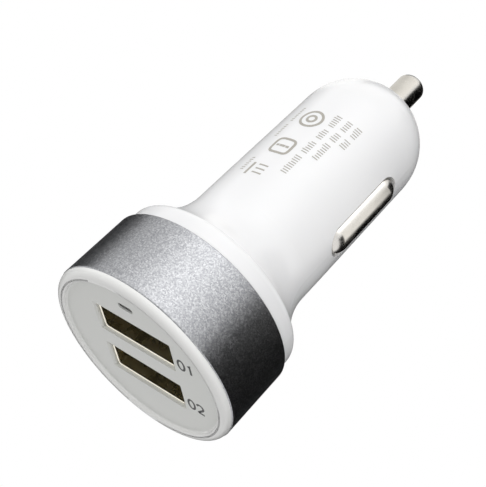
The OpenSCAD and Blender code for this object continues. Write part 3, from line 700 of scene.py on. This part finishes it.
# %% Sky
world = bpy.data.worlds.new("studio")
bpy.context.scene.world = world
world.use_nodes = True
sky = world.node_tree
sky.nodes.clear()
rays = add(sky, "LightPath")
heading = add(sky, "TexCoord")
height = add(sky, "SeparateXYZ")
join(sky, heading, "Generated", height, "Vector")
fall = add(sky, "MapRange", {"From Min": -1.0, "From Max": -0.45, "To Min": GROUND_LIGHT, "To Max": SKY_LIGHT})
join(sky, height, "Z", fall, "Value")
glow = add(sky, "Background", {"Color": (1, 1, 1, 1)})
join(sky, fall, "Result", glow, "Strength")
white = add(sky, "Background", {"Color": (1, 1, 1, 1), "Strength": 1.0})
seen = add(sky, "Math", operation="MAXIMUM")
shown = add(sky, "Math", operation="MAXIMUM")
join(sky, rays, "Is Camera Ray", seen, 0)
join(sky, rays, "Is Glossy Ray", seen, 1)
join(sky, seen, 0, shown, 0)
join(sky, rays, "Is Transmission Ray", shown, 1)
either = add(sky, "MixShader")
join(sky, shown, 0, either, 0)
join(sky, glow, 0, either, 1)
join(sky, white, 0, either, 2)
join(sky, either, 0, add(sky, "OutputWorld"), "Surface")
print("sky ready")

# %% [markdown]
# ## Soft box and cards
# Each is a sheet bent round the plug, given by how far it turns round the plug and how high it rises.
# A sheet with a sharp rim would draw a line across the polished barrel, so each one thins out towards
# its rim. That veil is worked out at every corner of the sheet: it climbs from 0 at the rim to 1 inside
# along a smooth step, and the material lets the sky through where the veil is thin.
#
# The fill cloth softens the barrel's shaded edge. The plug's tip and side contact are too small to
# catch the soft box as the ring does, so each has a small cloth close by, which only metal mirrors.
# The card's far end glows a little, as a white wall would, and lifts the plug's left side.

# %% Sheets round the plug
def stage_mesh(name, points, faces, material):
    """A mesh of the studio, which isn't part of the plug."""
    mesh = bpy.data.meshes.new(name)
    mesh.from_pydata(points, [], faces)
    mesh.materials.append(material)
    thing = bpy.data.objects.new(name, mesh)
    bpy.context.scene.collection.objects.link(thing)
    return thing


def smooth_step(share):
    """Climbs from 0 to 1 with level ends: 3 s^2 - 2 s^3."""
    share = np.clip(share, 0, 1)
    return share * share * (3 - 2 * share)


def sheet(name, turns, rises, rim, material, radius=0.45, count=40, centre=(0, 0, 0.034)):
    """A patch of a sphere: x = r cos(rise) cos(turn), y = r cos(rise) sin(turn), z = r sin(rise). The
    veil at a corner is the product of two smooth steps over the rim's width, one each way."""
    turn, rise = np.meshgrid(np.linspace(*turns, count), np.linspace(*rises, count), indexing="ij")
    veil = smooth_step(np.minimum(turn - turns[0], turns[1] - turn) / rim[0])
    veil = veil * smooth_step(np.minimum(rise - rises[0], rises[1] - rise) / rim[1])
    degrees = turn.ravel()
    turn, rise = np.radians(turn), np.radians(rise)
    points = np.stack([np.cos(rise) * np.cos(turn), np.cos(rise) * np.sin(turn), np.sin(rise)], -1)
    points = points.reshape(-1, 3) * radius + centre
    i, j = np.meshgrid(np.arange(count - 1), np.arange(count - 1), indexing="ij")
    first = (i * count + j).ravel()
    faces = np.stack([first, first + 1, first + count + 1, first + count], 1)
    hung = stage_mesh(name, points.tolist(), faces.tolist(), material)
    hung.data.attributes.new("veil", "FLOAT", "POINT").data.foreach_set("value", veil.ravel())
    hung.data.attributes.new("turn", "FLOAT", "POINT").data.foreach_set("value", degrees)
    hung.visible_camera = hung.visible_transmission = False
    return hung


def veiled(name, make_shader):
    """A material that thins out with the sheet's veil."""
    material = bpy.data.materials.new(name)
    material.use_nodes = True
    tree = material.node_tree
    tree.nodes.clear()
    mix = add(tree, "MixShader")
    join(tree, add(tree, "Attribute", attribute_name="veil"), "Fac", mix, 0)
    join(tree, add(tree, "BsdfTransparent"), 0, mix, 1)
    join(tree, make_shader(tree), 0, mix, 2)
    join(tree, mix, 0, add(tree, "OutputMaterial"), "Surface")
    return material


def glowing_cloth(tree):
    """The soft box's cloth: an even glow, brighter in mirrors than it lights."""
    gleam = add(tree, "MapRange", {"To Min": KEY_LIGHT, "To Max": KEY_GLEAM})
    join(tree, add(tree, "LightPath"), "Is Glossy Ray", gleam, "Value")
    cloth = add(tree, "Emission", {"Color": (1, 1, 1, 1)})
    join(tree, gleam, "Result", cloth, "Strength")
    return cloth


def dark_board(tree):
    """A card: black in mirrors, and a dim grey to the soft light on the plastic."""
    path = add(tree, "LightPath")
    spread = add(tree, "MapRange", {"From Min": 130.0, "From Max": 195.0, "To Min": CARD_LIGHT,
                                    "To Max": LEFT_LIGHT}, interpolation_type="SMOOTHSTEP")
    join(tree, add(tree, "Attribute", attribute_name="turn"), "Fac", spread, "Value")
    dim = add(tree, "Math", operation="MULTIPLY")
    join(tree, spread, "Result", dim, 1)
    join(tree, path, "Is Diffuse Ray", dim, 0)
    board = add(tree, "Emission", {"Color": (1, 1, 1, 1)})
    join(tree, dim, 0, board, "Strength")
    return board


def thin_cloth(tree):
    """A reflector that adds a little light and lets what is behind it through."""
    both = add(tree, "AddShader")
    join(tree, add(tree, "Emission", {"Color": (1, 1, 1, 1), "Strength": FILL_LIGHT}), 0, both, 0)
    join(tree, add(tree, "BsdfTransparent"), 0, both, 1)
    return both


def gleaming_cloth(tree):
    """A small cloth for mirrors alone, brightest on the light's side and duller round the back."""
    dull = add(tree, "MapRange", {"From Min": 120.0, "From Max": 40.0, "To Min": 0.86, "To Max": 1.15})
    bright = add(tree, "MapRange", {"From Min": 230.0, "From Max": 320.0, "To Min": 0.0, "To Max": 0.35})
    turn = add(tree, "Attribute", attribute_name="turn")
    join(tree, turn, "Fac", dull, "Value")
    join(tree, turn, "Fac", bright, "Value")
    level = add(tree, "Math", operation="ADD")
    join(tree, dull, "Result", level, 0)
    join(tree, bright, "Result", level, 1)
    cloth = add(tree, "Emission", {"Color": (1, 0.985, 0.95, 1)})
    join(tree, level, 0, cloth, "Strength")
    return cloth


sheet("soft_box", (-140, -20), (-12, 68), (60, 40), veiled("soft_box_cloth", glowing_cloth), 0.40)
fill = sheet("fill_cloth", (-70, 0), (-35, 60), (30, 30), veiled("fill_cloth", thin_cloth), 0.38)
fill.visible_glossy = False
small_cloth = veiled("small_cloth", gleaming_cloth)
small_cloth.cycles.emission_sampling = "NONE"
for name, turns, rises, centre in (("contact_gleam", (-50, 52), (14, 46), (11.3 * MM, 0, 38 * MM)),
                                   ("tip_gleam", (85, 335), (21, 56), (0, 0, 65 * MM))):
    gleam = sheet(name, turns, rises, (26, 7), small_cloth, 0.05, 32, centre)
    gleam.visible_diffuse = gleam.visible_shadow = False
card_black = veiled("card_black", dark_board)
card_black.cycles.emission_sampling = "NONE"
sheet("dark_card", (-30, 204), (-22, 88), (20, 16), card_black, 0.45, 60)
print("studio sheets: soft box, fill cloth, two small cloths and the dark card")

# %% [markdown]
# ## Floor
# The plug stands on a pale floor that catches its shadow. Seen from below, a floor would hide the ports,
# so it has one side only: it shows from above, and only to the camera. Far from the plug it fades to the
# sky's white, and no horizon shows.

# %% Floor
floor_paint = bpy.data.materials.new("pale_floor")
floor_paint.use_nodes = True
paint = floor_paint.node_tree
paint.nodes.clear()
side_seen = add(paint, "NewGeometry")
ray_kind = add(paint, "LightPath")
from_above = add(paint, "Math", {0: 1.0}, operation="SUBTRACT")
join(paint, side_seen, "Backfacing", from_above, 1)
show = add(paint, "Math", operation="MULTIPLY")
join(paint, from_above, 0, show, 0)
join(paint, ray_kind, "Is Camera Ray", show, 1)
reach = add(paint, "VectorMath", operation="LENGTH")
join(paint, side_seen, "Position", reach, 0)
far = add(paint, "MapRange", {"From Min": 0.02, "From Max": 0.13, "To Min": 0.25},
          interpolation_type="SMOOTHSTEP")
join(paint, reach, "Value", far, "Value")
pale = add(paint, "BsdfDiffuse", {"Color": (0.97, 0.97, 0.97, 1)})
far_white = add(paint, "Emission", {"Color": (1, 1, 1, 1), "Strength": 1.0})
ground = add(paint, "MixShader")
join(paint, far, "Result", ground, 0)
join(paint, pale, 0, ground, 1)
join(paint, far_white, 0, ground, 2)
clear = add(paint, "BsdfTransparent")
choose = add(paint, "MixShader")
join(paint, show, 0, choose, 0)
join(paint, clear, 0, choose, 1)
join(paint, ground, 0, choose, 2)
join(paint, choose, 0, add(paint, "OutputMaterial"), "Surface")
half = 1.2
floor = stage_mesh("floor", [(-half, -half, 0), (half, -half, 0), (half, half, 0), (-half, half, 0)],
                   [(0, 1, 2, 3)], floor_paint)
floor.visible_shadow = False
print("floor ready")

# %% [markdown]
# ## Finish
# The standard view transform shows colours as they are written.

# %% Colour
bpy.context.scene.view_settings.view_transform = "Standard"
